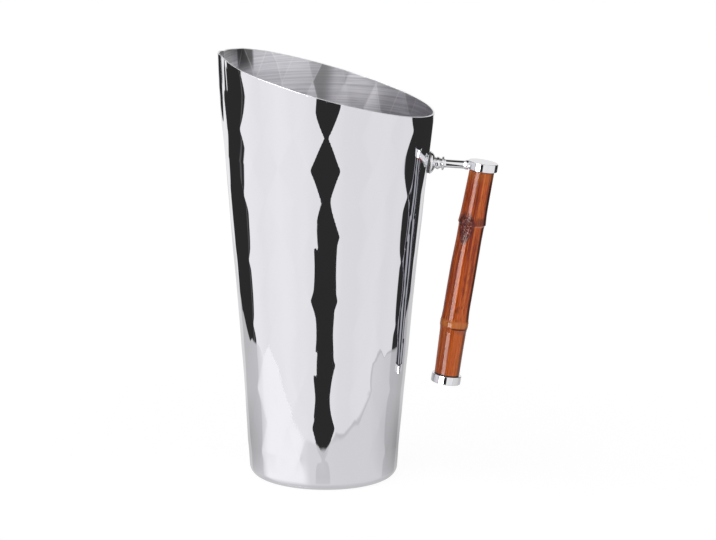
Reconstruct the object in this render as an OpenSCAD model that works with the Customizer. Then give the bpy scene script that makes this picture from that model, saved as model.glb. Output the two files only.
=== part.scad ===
// Tall tapered steel jug with a faceted wall, a slanted mouth and a bamboo grip on one turned arm.
// Origin: centre of the underside, on the body's axis. +Z up, +X toward the grip, -X toward the spout.

/* [Body] */
// Height of the mouth plane on the body's axis
mouth_h = 248.8; // [236:0.2:260]
// Fall of the mouth plane from the spout to the grip side, in degrees
mouth_fall = 14.9; // [8:0.1:20]
// Radius of the tapered outline at the underside
base_r = 46; // [43:0.5:50]
// Radius of the tapered outline at the height of the spout tip
mouth_r = 69.9; // [66:0.1:74]
// How much the taper bows inward below a straight line, counted at the spout tip
taper_flare = 4.7; // [0:0.1:8]
// Height at which the outline reaches the mouth radius
taper_h = 266.5; // [255:0.5:280]
// Thickness of the steel sheet
wall_t = 1; // [0.8:0.1:1.4]

/* [Facets] */
// Diamonds around the wall
facet_count = 20; // [16:2:24]
// Height of half a diamond
facet_pitch = 20.5; // [19:0.5:22]
// Height of the plain band below the diamonds
plain_h = 20.5; // [16:0.5:24]
// Depth of a diamond's middle below its ridges
facet_dish = 0.3; // [0:0.05:0.6]
// Depth to which the flanks of the spout are drawn in
spout_draw = 3.4; // [0:0.2:5]

/* [Base] */
// Radius of the rounded bottom edge
base_edge_r = 6; // [4:0.5:8]
// Height of the seam between the pan and the wall
seam_h = 8; // [7.5:0.5:12]
// Width of the ring that the jug stands on
foot_ring_w = 7; // [5:0.5:10]
// Rise of the pan's middle above the foot ring
pan_rise = 1.2; // [0.8:0.1:2]
// Width of the slope between the foot ring and the middle
pan_slope_w = 3; // [2:0.5:5]

/* [Arm] */
// Height at which the arm's axis meets the wall
arm_h = 199.6; // [190:0.2:206]
// Fall of the arm toward the grip, in degrees
arm_fall = 3; // [0:0.5:8]
// Length of the arm from the wall to the grip's axis
arm_reach = 33.6; // [31:0.1:37]
// Diameter of the arm
arm_d = 5.2; // [4.8:0.1:6]
// Diameter of the arm's two threaded ends
thread_d = 4; // [3:0.1:4]
// Diameter of the rosette against the wall
rosette_d = 14.4; // [13:0.2:16]
// Thickness of the rosette
rosette_t = 3.2; // [2.8:0.1:4]
// Thickness of the gasket under the rosette, at its thickest
gasket_t = 0.8; // [0.6:0.1:1.2]
// Diameter of the neck collar
collar_d = 8; // [7:0.1:9]
// Length of the neck collar
collar_l = 3.2; // [2.6:0.1:4]
// Length of the arm's narrow stretch between the collar and the ring
arm_waist_l = 0.9; // [0.5:0.1:1.5]
// Diameter of the narrow stretch
arm_waist_d = 6.2; // [5.6:0.1:6.8]
// Diameter of the arm's ring
ring_d = 8.8; // [8:0.1:10]
// Thickness of the arm's ring
ring_t = 1.4; // [1:0.1:2]
// Diameter of the inner washers
washer_d = 10; // [9:0.5:12]
// Thickness of the inner steel washer
washer_t = 1; // [0.8:0.1:1.4]
// Thickness of the split lock washer
lock_washer_t = 0.9; // [0.7:0.1:1.2]
// Outer diameter of the split lock washer
lock_washer_d = 7; // [6.4:0.1:8]
// Width across the flats of the dome nut
nut_w = 7; // [6.5:0.1:8]
// Height of the dome nut's hexagon
nut_hex_h = 3; // [2.6:0.1:4]

/* [Grip] */
// Lean of the grip away from the body at its top, in degrees
grip_lean = 8.5; // [6:0.1:10]
// Length of the bamboo
grip_l = 130.6; // [124:0.2:138]
// Diameter of the bamboo between its nodes
grip_d = 16.3; // [15.5:0.1:17]
// Diameter of the bamboo at its cut ends
grip_end_d = 15.4; // [14.5:0.1:16]
// Rise of a bamboo node above the stem around it
node_rise = 0.5; // [0.2:0.05:0.8]
// Distance from the top end to the upper node
upper_node_s = 34.3; // [30:0.1:38]
// Distance from the top end to the lower node
lower_node_s = 100.4; // [96:0.1:104]
// Diameter of the two end caps
cap_d = 18.9; // [18:0.1:20]
// Height of an end cap
cap_h = 5.3; // [5:0.1:6]
// Chamfer on the rims of the caps
cap_chamfer = 0.4; // [0.2:0.1:0.8]
// Thickness of the dark ring under each cap
shim_t = 0.6; // [0.4:0.1:1]
// Bore through the bamboo
grip_bore_d = 7; // [6.4:0.1:8]
// Length of the wooden plug at each end of the bore
plug_l = 14; // [10:0.5:18]
// Diameter of the tie rod inside the bamboo
tie_d = 4; // [3:0.1:4.4]

/* [Hidden] */
$fn = 96;

// How far a cutter runs past the surface that it opens
overrun = 1;
// Room between a threaded end and the hole that it passes through
hole_clear = 0.2;
// Room between the tie rod and the plugs
tie_clear = 0.1;
// How deep a threaded end sits in its blind hole
thread_grip_l = 3.6;
// Room left at the bottom of a blind hole
blind_room = 0.3;
// Opening of the split in the lock washer
split_w = 0.8;
// Room between the hexagon and the dome of the nut, as a step at its foot
dome_step = 0.3;
// Radius of the small rounding on the collar, the ring and the rosette
turn_round = 0.5;
// Height of the rosette's straight rim
rosette_rim_t = 0.7;
// Half the length over which the bamboo swells toward a node
node_half_l = 9;
// Half the length of a node's crest
crest_half_l = 1.6;
// Depth of the groove at the lower node
groove_in = 0.35;
// Step from the plain band in to the lowest ridges
band_ledge = 0.05;
// Share of the dish's depth in each row of the lattice, lowest row first
row_dish_shares = [0, 0.8, 0.8, 0.7, 0.7, 1, 0.6, 0.5, 0.5, 1, 1.2, 1.3, 1.3, 1.3];
// Share of the spout's draw at each half diamond outward from its tip
spout_flank_shares = [0, 1, 1, 0.85, 0.45, 0.12];
// Share of the flanks' draw in each row of the lattice, highest row first
spout_row_shares = [1, 1, 0.8, 0.3];
// Share of the spout's draw at its tip in each row, highest row first
spout_tip_shares = [0.6, 0.6, 0.1, 0];

columns = 2 * facet_count;
column_a = 360 / columns;
spout_column = facet_count;
row_count = len(row_dish_shares);
pan_flat_r = outline_r(base_edge_r) - base_edge_r;
recess_r = pan_flat_r - foot_ring_w;
collar_s = gasket_t + rosette_t;
arm_foot_s = collar_s + collar_l;
ring_s = arm_foot_s + arm_waist_l;
cap_side_s = arm_reach - cap_d / 2;
inner_stack_s = -wall_t - gasket_t;
nut_s = inner_stack_s - washer_t - lock_washer_t;
thread_end_s = nut_s - nut_hex_h;
hole_d = thread_d + hole_clear;
cap_low_z = -cap_h / 2;
grip_top_z = cap_low_z - shim_t;
grip_low_z = grip_top_z - grip_l;
bottom_cap_top_z = grip_low_z - shim_t;

// Radius of the round, tapered outline at a height
function outline_r(z) =
    base_r + (mouth_r - base_r - taper_flare) * z / taper_h
    + taper_flare * z * z / taper_h / taper_h;

function row_z(row) = plain_h + row * facet_pitch;
function row_below_top(row) = row_count - 1 - row;
function from_spout(column) = abs(column - spout_column);

// Draw of the spout's flanks at a lattice point
function spout_share(step, side) =
    side == 0
        ? spout_tip_shares[step]
        : spout_row_shares[step] * spout_flank_shares[side];
function spout_in(row, column) =
    row_below_top(row) < len(spout_row_shares) && from_spout(column) < len(spout_flank_shares)
        ? spout_draw * spout_share(row_below_top(row), from_spout(column))
        : 0;

// A lattice point is a ridge crossing or the middle of a diamond
function is_middle(row, column) = row > 0 && (row + column) % 2 == 1;
function middle_in(row, column) =
    is_middle(row, column) ? facet_dish * row_dish_shares[row] : 0;
function ledge_in(row) = row == 0 ? band_ledge : 0;
function lattice_r(row, column, inset) =
    outline_r(row_z(row)) - inset - ledge_in(row) - middle_in(row, column) - spout_in(row, column);
function lattice_point(row, column, inset) = [
    lattice_r(row, column, inset) * cos(column * column_a),
    lattice_r(row, column, inset) * sin(column * column_a),
    row_z(row)
];
function point_at(row, column) = row * columns + column % columns;

// The two triangles of one cell share the ridge, which joins two ridge crossings
function cell_faces(row, column) =
    (row + column) % 2 == 0
        ? [
            [point_at(row, column), point_at(row + 1, column + 1), point_at(row, column + 1)],
            [point_at(row, column), point_at(row + 1, column), point_at(row + 1, column + 1)]
        ]
        : [
            [point_at(row, column), point_at(row + 1, column), point_at(row, column + 1)],
            [point_at(row, column + 1), point_at(row + 1, column), point_at(row + 1, column + 1)]
        ];

// Solid diamond lattice, set in from the outer surface
module lattice(inset) {
    points = [
        for (row = [0:row_count - 1])
            for (column = [0:columns - 1])
                lattice_point(row, column, inset)
    ];
    sides = [
        for (row = [0:row_count - 2])
            for (column = [0:columns - 1])
                for (face = cell_faces(row, column))
                    face
    ];
    low_face = [for (column = [0:columns - 1]) point_at(0, column)];
    high_face = [for (column = [columns - 1:-1:0]) point_at(row_count - 1, column)];
    polyhedron(points, concat(sides, [low_face], [high_face]));
}

// Plain band of the taper below the diamonds, set in from the outer surface
module plain_band(inset, low_z) {
    translate([0, 0, low_z])
        cylinder(
            h = plain_h - low_z,
            r1 = outline_r(low_z) - inset,
            r2 = outline_r(plain_h) - inset
        );
}

// Everything above the slanted mouth plane
module above_mouth() {
    translate([0, 0, mouth_h])
        rotate([0, mouth_fall, 0])
            translate([-2 * mouth_r, -2 * mouth_r, 0])
                cube([4 * mouth_r, 4 * mouth_r, 2 * mouth_r]);
}

// Frame of the arm: local +Z runs outward from the wall
module on_arm() {
    translate([outline_r(arm_h), 0, arm_h])
        rotate([0, 90 + arm_fall, 0])
            children();
}

// Frame of the grip: local +Z runs up its axis, zero at the middle of the top cap
module on_grip() {
    on_arm()
        translate([0, 0, arm_reach])
            rotate([0, grip_lean - 90 - arm_fall, 0])
                children();
}

// Round bar with a rounded rim at each end
module turned_bar(diameter, length) {
    rotate_extrude()
        polygon([
            [0, 0],
            [diameter / 2 - turn_round, 0],
            [diameter / 2, turn_round],
            [diameter / 2, length - turn_round],
            [diameter / 2 - turn_round, length],
            [0, length]
        ]);
}

// Disc with a chamfer on both rims
module cap_disc() {
    rotate_extrude()
        polygon([
            [0, 0],
            [cap_d / 2 - cap_chamfer, 0],
            [cap_d / 2, cap_chamfer],
            [cap_d / 2, cap_h - cap_chamfer],
            [cap_d / 2 - cap_chamfer, cap_h],
            [0, cap_h]
        ]);
}

module body_wall() {
    color("gainsboro")
        difference() {
            union() {
                plain_band(0, seam_h);
                lattice(0);
            }
            plain_band(wall_t, seam_h);
            translate([0, 0, seam_h - overrun])
                cylinder(h = overrun, r = outline_r(seam_h) - wall_t);
            lattice(wall_t);
            above_mouth();
            on_arm()
                translate([0, 0, -wall_t - gasket_t])
                    cylinder(h = wall_t + 2 * gasket_t, d = hole_d);
        }
}

module base_pan() {
    color("gainsboro")
        difference() {
            union() {
                translate([0, 0, base_edge_r])
                    cylinder(
                        h = seam_h - base_edge_r,
                        r1 = outline_r(base_edge_r),
                        r2 = outline_r(seam_h)
                    );
                rotate_extrude()
                    pan_edge(base_edge_r);
                cylinder(h = base_edge_r, r = pan_flat_r);
            }
            translate([0, 0, base_edge_r])
                cylinder(
                    h = seam_h - base_edge_r,
                    r1 = outline_r(base_edge_r) - wall_t,
                    r2 = outline_r(seam_h) - wall_t
                );
            translate([0, 0, seam_h])
                cylinder(h = overrun, r = outline_r(seam_h) - wall_t);
            pan_hollow();
            pan_recess();
            translate([0, 0, -overrun])
                cylinder(h = overrun, r = recess_r);
        }
}

// Quarter round of the pan's edge, between its flat and the wall
module pan_edge(radius) {
    intersection() {
        translate([pan_flat_r, base_edge_r])
            circle(r = radius);
        translate([pan_flat_r, base_edge_r - radius])
            square(radius);
    }
}

// Room inside the pan, with its middle lifted by the recess below
module pan_hollow() {
    difference() {
        union() {
            rotate_extrude()
                pan_edge(base_edge_r - wall_t);
            translate([0, 0, wall_t])
                cylinder(h = base_edge_r - wall_t, r = pan_flat_r);
        }
        translate([0, 0, wall_t])
            pan_recess();
    }
}

// Flat-topped cone that lifts the middle of the pan
module pan_recess() {
    cylinder(h = pan_rise, r1 = recess_r, r2 = recess_r - pan_slope_w);
}

module wall_gasket() {
    color("dimgray")
        difference() {
            on_arm()
                translate([0, 0, -wall_t])
                    cylinder(h = wall_t + gasket_t, d = rosette_d - 2 * turn_round);
            lattice(0);
            on_arm()
                translate([0, 0, -wall_t - overrun])
                    cylinder(h = wall_t + gasket_t + 2 * overrun, d = hole_d);
        }
}

module rosette() {
    color("silver")
        on_arm()
            translate([0, 0, gasket_t])
                difference() {
                    rotate_extrude()
                        polygon([
                            [hole_d / 2, 0],
                            [rosette_d / 2, 0],
                            [rosette_d / 2, rosette_rim_t],
                            [rosette_d / 2 - turn_round, rosette_rim_t + turn_round],
                            [(rosette_d + collar_d) / 4 + turn_round, rosette_t - 2 * turn_round],
                            [collar_d / 2 + turn_round, rosette_t - turn_round / 2],
                            [collar_d / 2, rosette_t],
                            [hole_d / 2, rosette_t]
                        ]);
                }
}

module neck_collar() {
    color("silver")
        on_arm()
            translate([0, 0, collar_s])
                difference() {
                    turned_bar(collar_d, collar_l);
                    translate([0, 0, -overrun])
                        cylinder(h = collar_l + 2 * overrun, d = hole_d);
                }
}

module arm_rod() {
    color("silver") {
        difference() {
            on_arm() {
                translate([0, 0, arm_foot_s])
                    cylinder(h = cap_side_s - arm_foot_s + overrun, d = arm_d);
                translate([0, 0, arm_foot_s])
                    cylinder(h = arm_waist_l, d = arm_waist_d);
                translate([0, 0, ring_s])
                    turned_bar(ring_d, ring_t);
            }
            on_grip()
                translate([0, 0, -cap_h])
                    cylinder(h = 2 * cap_h, d = cap_d);
        }
        on_arm() {
            translate([0, 0, thread_end_s])
                cylinder(h = arm_foot_s + overrun - thread_end_s, d = thread_d);
            translate([0, 0, cap_side_s - overrun])
                cylinder(h = overrun + thread_grip_l, d = thread_d);
        }
    }
}

module inner_gasket() {
    color("dimgray")
        difference() {
            intersection() {
                on_arm()
                    translate([0, 0, inner_stack_s])
                        cylinder(h = gasket_t + wall_t, d = washer_d);
                lattice(wall_t);
            }
            on_arm()
                translate([0, 0, inner_stack_s - overrun])
                    cylinder(h = gasket_t + wall_t + 2 * overrun, d = hole_d);
        }
}

module inner_washer() {
    color("lightgray")
        on_arm()
            translate([0, 0, inner_stack_s - washer_t])
                difference() {
                    cylinder(h = washer_t, d = washer_d);
                    translate([0, 0, -overrun])
                        cylinder(h = washer_t + 2 * overrun, d = hole_d);
                }
}

module lock_washer() {
    color("lightgray")
        on_arm()
            translate([0, 0, nut_s])
                difference() {
                    cylinder(h = lock_washer_t, d = lock_washer_d);
                    translate([0, 0, -overrun])
                        cylinder(h = lock_washer_t + 2 * overrun, d = hole_d);
                    translate([0, -split_w / 2, -overrun])
                        cube([lock_washer_d, split_w, lock_washer_t + 2 * overrun]);
                }
}

module dome_nut() {
    dome_r = nut_w / 2 - dome_step;
    color("silver")
        on_arm()
            translate([0, 0, nut_s])
                mirror([0, 0, 1])
                    difference() {
                        union() {
                            cylinder(h = nut_hex_h, d = nut_w / cos(30), $fn = 6);
                            intersection() {
                                translate([0, 0, nut_hex_h])
                                    sphere(r = dome_r);
                                cylinder(h = nut_hex_h + dome_r, r = dome_r);
                            }
                        }
                        translate([0, 0, -overrun])
                            cylinder(h = nut_hex_h + blind_room + overrun, d = thread_d);
                    }
}

module top_cap() {
    hole_l = thread_grip_l + blind_room;
    color("silver")
        difference() {
            on_grip()
                translate([0, 0, cap_low_z])
                    cap_disc();
            on_arm()
                translate([0, 0, cap_side_s - overrun])
                    cylinder(h = overrun + hole_l, d = thread_d);
            on_grip()
                translate([0, 0, cap_low_z - overrun])
                    cylinder(h = overrun + thread_grip_l, d = tie_d);
        }
}

module shim() {
    difference() {
        cylinder(h = shim_t, d = grip_end_d);
        translate([0, 0, -overrun])
            cylinder(h = shim_t + 2 * overrun, d = grip_bore_d);
    }
}

module top_shim() {
    color("saddlebrown")
        on_grip()
            translate([0, 0, grip_top_z])
                shim();
}

module bottom_shim() {
    color("black")
        on_grip()
            translate([0, 0, bottom_cap_top_z])
                shim();
}

// Distances from the top end, and radii, of the bamboo's outline
module bamboo_outline() {
    end_r = grip_end_d / 2;
    stem_r = grip_d / 2;
    node_r = stem_r + node_rise;
    mid_s = (upper_node_s + lower_node_s) / 2;
    polygon([
        [0, 0],
        [end_r, 0],
        [stem_r - node_rise / 2, -upper_node_s / 3],
        [stem_r, -upper_node_s + node_half_l],
        [node_r, -upper_node_s + crest_half_l],
        [node_r, -upper_node_s],
        [stem_r, -upper_node_s - 2 * crest_half_l],
        [stem_r - node_rise / 2, -upper_node_s - node_half_l],
        [stem_r + node_rise / 3, -mid_s],
        [stem_r, -lower_node_s + 2 * node_half_l],
        [node_r, -lower_node_s + 2 * crest_half_l],
        [node_r, -lower_node_s + crest_half_l / 2],
        [node_r - groove_in, -lower_node_s],
        [node_r - groove_in / 2, -lower_node_s - crest_half_l],
        [stem_r, -lower_node_s - node_half_l],
        [stem_r - node_rise / 2, (-lower_node_s - grip_l - node_half_l) / 2],
        [end_r, -grip_l],
        [0, -grip_l]
    ]);
}

module bamboo_grip() {
    color("sienna")
        on_grip()
            translate([0, 0, grip_top_z])
                difference() {
                    rotate_extrude()
                        bamboo_outline();
                    translate([0, 0, -grip_l - overrun])
                        cylinder(h = grip_l + 2 * overrun, d = grip_bore_d);
                }
}

module bottom_cap() {
    color("silver")
        on_grip()
            translate([0, 0, bottom_cap_top_z - cap_h])
                difference() {
                    cap_disc();
                    translate([0, 0, cap_h - thread_grip_l])
                        cylinder(h = thread_grip_l + overrun, d = tie_d);
                }
}

module tie_rod() {
    seat_l = thread_grip_l - blind_room;
    color("lightgray")
        on_grip()
            translate([0, 0, bottom_cap_top_z - seat_l])
                cylinder(h = cap_low_z - bottom_cap_top_z + 2 * seat_l, d = tie_d);
}

module plug() {
    difference() {
        cylinder(h = plug_l, d = grip_bore_d);
        translate([0, 0, -overrun])
            cylinder(h = plug_l + 2 * overrun, d = tie_d + tie_clear);
    }
}

module top_plug() {
    color("burlywood")
        on_grip()
            translate([0, 0, grip_top_z - plug_l])
                plug();
}

module bottom_plug() {
    color("burlywood")
        on_grip()
            translate([0, 0, grip_low_z])
                plug();
}

body_wall();
base_pan();
wall_gasket();
rosette();
neck_collar();
arm_rod();
inner_gasket();
inner_washer();
lock_washer();
dome_nut();
top_cap();
top_shim();
bamboo_grip();
bottom_shim();
bottom_cap();
tie_rod();
top_plug();
bottom_plug();
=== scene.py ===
import math

import bpy
import numpy as np
from mathutils import Matrix, Vector


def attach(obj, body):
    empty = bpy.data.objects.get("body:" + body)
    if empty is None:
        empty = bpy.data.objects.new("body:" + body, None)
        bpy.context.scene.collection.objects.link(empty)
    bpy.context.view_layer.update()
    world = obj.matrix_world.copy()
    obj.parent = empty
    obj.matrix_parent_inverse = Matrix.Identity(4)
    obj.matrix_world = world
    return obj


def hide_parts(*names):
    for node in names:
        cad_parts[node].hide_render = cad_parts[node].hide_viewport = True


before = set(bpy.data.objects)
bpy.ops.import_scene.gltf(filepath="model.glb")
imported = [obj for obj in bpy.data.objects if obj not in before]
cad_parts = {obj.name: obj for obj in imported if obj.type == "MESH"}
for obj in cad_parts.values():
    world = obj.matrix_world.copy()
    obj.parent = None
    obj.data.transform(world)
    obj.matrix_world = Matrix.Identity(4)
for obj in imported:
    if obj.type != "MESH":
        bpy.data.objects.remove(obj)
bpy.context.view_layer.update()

# All sizes below are in millimetres and degrees, as in the part's source
MM = 0.001

# Body outline
base_r = 46.0
mouth_r = 69.9
taper_flare = 4.7
taper_h = 266.5
mouth_h = 248.8
mouth_fall = 14.9
wall_t = 1.0
rim_round = 0.3

# Diamonds: 20 around, and one half diamond is 20.5 high
facet_count = 20
facet_pitch = 20.5
plain_h = 20.5
columns = 2 * facet_count
spout_column = facet_count
# Share of a half diamond over which a ridge is rounded off
ridge_soft_share = 0.16
# Heights, and how much of the wall's roundness a diamond takes away there
strength_heights = [0, 8, 20.5, 61.5, 82, 164, 184.5, 225.5, 290]
flatten_shares = [0, 0, 0.6, 0.6, 0.4, 0.4, 0.6, 0.6, 0]
# Round the wall, by column: the share of that strength, and of the full strength added
# near the rim. Behind, where the camera sees the inside, the diamonds are crisp.
share_columns = [0, 3, 17, 20, 36, 37, 38.5, 40]
strength_shares = [0.4, 1, 1, 1, 1, 0.35, 0.3, 0.4]
crisp_columns = [0, 2, 4, 16, 18, 20, 40]
crisp_shares = [0, 0, 1, 1, 0, 0, 0]
crisp_strength = 0.85
crisp_low, crisp_high = 164.0, 225.5
# Behind, the diamonds are skewed, by column: what is added to the first ridge count and
# taken from the second, and the rows over which the latter sets in
skew_columns = [3, 6, 14, 17]
skew_shares = [0, 1, 1, 0]
skew_first, skew_second = 0.4, 0.7
skew_top_row, skew_rows = 11.3, 1.4
# How far the front of the wall is drawn in at the mouth, by column, and from which height
front_columns = [24, 28, 32, 36]
front_sizes = [0, 0.35, 0.35, 0]
front_low = 215.0
# The diamonds are uneven: every crossing of two ridges stands a little out or in,
# and the middle of every diamond lies a little deeper or less deep, by seeded chance.
# Both fade out between these heights, so the lowest band is smooth.
fade_low, fade_high = 8.0, 20.5
lattice_rows = 15
crossing_spread = 0.2
middle_mean = -0.1
middle_spread = 0.05
# Chance sizes reach this many spreads either way
spread_reach = 1.7
lattice_seed = 11
# Crossings near the mouth, from the back to the spout's tip, lie at least this far in
mouth_row = 11
mouth_set_in = 0.2

# Spout: how far its flanks and tip are drawn in
spout_draw = 3.4
spout_flank_shares = [0, 1, 1, 0.85, 0.45, 0.12, 0]
spout_row_heights = [205, 225.5, 246, 266.5, 287]
spout_row_shares = [0, 0.3, 0.8, 1, 1]
spout_tip_shares = [0, 0, 0.1, 0.6, 0.6]

# Pan
seam_h = 8.0
base_edge_r = 6.0
foot_ring_w = 7.0
pan_rise = 1.2
pan_slope_w = 3.0

# Arm
arm_h = 199.6
arm_fall = 3.0
arm_reach = 33.6
arm_d = 5.2
rosette_d = 14.4
rosette_t = 3.2
gasket_t = 0.8
collar_d = 8.0
collar_l = 3.2
arm_waist_l = 0.9
arm_waist_d = 6.2
ring_d = 8.8
ring_t = 1.4
hole_d = 4.2
# Rosette outline: heights over its foot, steps in from its edge, steps out from the collar
rosette_edge_h = 0.6
rosette_step_h, rosette_step_in = 0.75, 0.5
rosette_dome_h, rosette_dome_in = 1.5, 0.8
rosette_flare_h, rosette_flare_out = 2.5, 1.1
rosette_neck_h, rosette_neck_out = 2.7, 0.1
rosette_lip_in = 0.2
# Collar outline: heights over its foot, and steps in from its bead
collar_foot_h, collar_foot_in = 0.7, 0.5
collar_bead_low_h, collar_bead_high_h = 0.9, 2.3
collar_tip_h, collar_tip_in = 2.5, 0.6
# Arm outline: the cone after the ring, the flare before the cap, and the end inside the cap
arm_cone_l, arm_cone_out = 1.2, 0.3
arm_flare_start_l, arm_flare_full_l, arm_flare_out = 2.4, 0.9, 0.5
arm_in_cap_l = 0.5

# Grip
grip_lean = 8.5
grip_l = 130.6
cap_d = 18.9
# The caps' sides stay this far inside the source's caps
cap_skin_gap = 0.1
cap_skin_r = cap_d / 2 - cap_skin_gap
cap_h = 5.3
# Fall of the top cap's slight dome at its edge and halfway out, and its rounding there
cap_dome_edge, cap_dome_halfway, cap_dome_round = 0.2, 0.03, 6
shim_t = 0.6
grip_bore_d = 7.0

# Mesh fineness
wall_segments = 384
outer_rows = 186
inner_rows = 62
# Inside, the rows crowd toward the mouth by this power
inner_crowding = 1.8
rim_steps = 5
sharp_angle = 40
merge_gap = 1e-7
turned_segments = 128
bamboo_segments = 128
bamboo_rows = 260


def outline_r(z):
    straight = mouth_r - base_r - taper_flare
    return base_r + straight * z / taper_h + taper_flare * (z / taper_h) ** 2


# Outer radius of the foot ring, and the wall's tilt just above the rounded edge
pan_flat_r = outline_r(base_edge_r) - base_edge_r
wall_tilt = math.atan(outline_r(base_edge_r + 0.5) - outline_r(base_edge_r - 0.5))

# Heights along the grip's axis, counted from the middle of the top cap
cap_low_z = -cap_h / 2
grip_top_z = cap_low_z - shim_t
bottom_cap_top_z = grip_top_z - grip_l - shim_t

collar_s = gasket_t + rosette_t
arm_foot_s = collar_s + collar_l
ring_s = arm_foot_s + arm_waist_l
cap_side_s = arm_reach - cap_d / 2

arm_frame = (
    Matrix.Translation((outline_r(arm_h), 0, arm_h))
    @ Matrix.Rotation(math.radians(90 + arm_fall), 4, "Y")
)
grip_frame = (
    arm_frame
    @ Matrix.Translation((0, 0, arm_reach))
    @ Matrix.Rotation(math.radians(grip_lean - 90 - arm_fall), 4, "Y")
)


# Meshes


def add_object(name, points, faces, place=None):
    """A smooth mesh object from points in millimetres, set in its frame."""
    mesh = bpy.data.meshes.new(name)
    mesh.from_pydata((np.asarray(points) * MM).tolist(), [], faces)
    mesh.shade_smooth()
    obj = bpy.data.objects.new(name, mesh)
    bpy.context.scene.collection.objects.link(obj)
    if place is not None:
        metres = place.copy()
        metres.translation = place.translation * MM
        obj.matrix_world = metres
    return obj


def ring_faces(ring_count, segments, first=0):
    """Quads between rings of points that follow each other."""
    ring = np.arange(ring_count - 1)[:, None] * segments + first
    step = np.arange(segments)[None, :]
    after = (step + 1) % segments
    quads = np.stack(
        [ring + step, ring + after, ring + segments + after, ring + segments + step],
        axis=-1,
    )
    return quads.reshape(-1, 4).tolist()


def rounded_outline(corners, arc_steps=6):
    """Outline points from (radius, height, rounding) corners."""
    points = []
    for i, (r, z, rounding) in enumerate(corners):
        here = Vector((r, z))
        if rounding == 0 or i in (0, len(corners) - 1):
            points.append(here)
            continue
        to_last = (Vector(corners[i - 1][:2]) - here).normalized()
        to_next = (Vector(corners[i + 1][:2]) - here).normalized()
        half = to_last.angle(to_next) / 2
        reach = rounding / math.tan(half)
        centre = here + (to_last + to_next).normalized() * rounding / math.sin(half)
        start = here + to_last * reach - centre
        end = here + to_next * reach - centre
        turn = start.angle_signed(end)
        for k in range(arc_steps + 1):
            spin = Matrix.Rotation(-turn * k / arc_steps, 2)
            points.append(centre + spin @ start)
    return [(p[0], p[1]) for p in points]


def turned(name, corners, place=None, closed=False, segments=turned_segments):
    """A turned piece from its outline; a closed outline makes a ring."""
    outline = rounded_outline(corners)
    angles = np.arange(segments) * 2 * math.pi / segments
    rings = []
    for r, z in outline:
        rings.append(
            np.stack([r * np.cos(angles), r * np.sin(angles), np.full(segments, z)], -1)
        )
    points = np.concatenate(rings)
    faces = ring_faces(len(outline), segments)
    if closed:
        last = (len(outline) - 1) * segments
        for k in range(segments):
            after = (k + 1) % segments
            faces.append([last + k, last + after, after, k])
    obj = add_object(name, points, faces, place)
    obj.data.set_sharp_from_angle(angle=math.radians(sharp_angle))
    clean = obj.modifiers.new("merge", "WELD")
    clean.merge_threshold = merge_gap
    keep_flat = obj.modifiers.new("flat faces", "WEIGHTED_NORMAL")
    keep_flat.weight = 100
    keep_flat.keep_sharp = True
    return obj


def soft_parabola_table(soft_share, steps=800):
    """Periodic parabola, 0 at odd numbers and 1 at even ones, with rounded peaks."""
    place = np.linspace(-1, 1, steps, endpoint=False)
    half = max(1, int(soft_share * steps / 4))
    box = np.ones(2 * half + 1) / (2 * half + 1)
    tiled = np.tile(place**2, 3)
    soft = np.convolve(np.convolve(tiled, box, "same"), box, "same")
    return place, soft[steps : 2 * steps]


parabola_places, parabola_values = soft_parabola_table(ridge_soft_share)


def soft_parabola(x):
    return np.interp(x % 2 - 1, parabola_places, parabola_values, period=2)


def soft_tent_table(soft_share, steps=3200):
    """A tent from 0 at -2 over 1 at 0 to 0 at 2, rounded like the ridges."""
    place = np.linspace(-4, 4, steps, endpoint=False)
    half = max(1, int(soft_share / 2 / (place[1] - place[0])))
    box = np.ones(2 * half + 1) / (2 * half + 1)
    tent = np.clip(1 - np.abs(place) / 2, 0, 1)
    return place, np.convolve(np.convolve(tent, box, "same"), box, "same")


tent_places, tent_values = soft_tent_table(ridge_soft_share)


def soft_tent(x):
    return np.interp(x, tent_places, tent_values, left=0, right=0)


def lattice_table(mean, spread):
    """Seeded sizes for every row and column."""
    rng = np.random.default_rng(lattice_seed)
    return mean + spread * rng.uniform(-spread_reach, spread_reach, (lattice_rows, columns))


crossing_table = lattice_table(0.0, crossing_spread)
middle_table = lattice_table(middle_mean, middle_spread)
near_mouth = crossing_table[mouth_row:, : spout_column + 1]
np.minimum(near_mouth, -mouth_set_in, out=near_mouth)


def uneven(a, b):
    """How far the uneven diamonds stand out at a place on the two ridge counts."""
    first_i = np.floor(a / 2).astype(int)
    first_j = np.floor(b / 2).astype(int)
    total = np.zeros(np.broadcast(a, b).shape)
    for i_step in (-1, 0, 1, 2):
        for j_step in (-1, 0, 1, 2):
            i = first_i + i_step
            j = first_j + j_step
            lift = crossing_table[np.clip(i - j, 0, lattice_rows - 1), (i + j) % columns]
            total = total + lift * soft_tent(a - 2 * i) * soft_tent(b - 2 * j)
    dip = middle_table[
        np.clip(first_i - first_j, 0, lattice_rows - 1), (first_i + first_j + 1) % columns
    ]
    peak = soft_parabola(0.0)
    return total - dip * (1 - soft_parabola(a) / peak) * (1 - soft_parabola(b) / peak)


def spout_in(theta, z):
    """How far the spout's flanks are drawn in."""
    pitch = 360 / columns
    away = np.abs((theta - spout_column * pitch + 180) % 360 - 180) / pitch
    flank = np.interp(away, range(len(spout_flank_shares)), spout_flank_shares)
    rows = np.interp(z, spout_row_heights, spout_row_shares)
    tip = np.interp(z, spout_row_heights, spout_tip_shares)
    near_tip = np.clip(1 - away, 0, 1)
    near_tip = near_tip * near_tip * (3 - 2 * near_tip)
    return spout_draw * (flank * rows * (1 - near_tip) + tip * near_tip)


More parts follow.
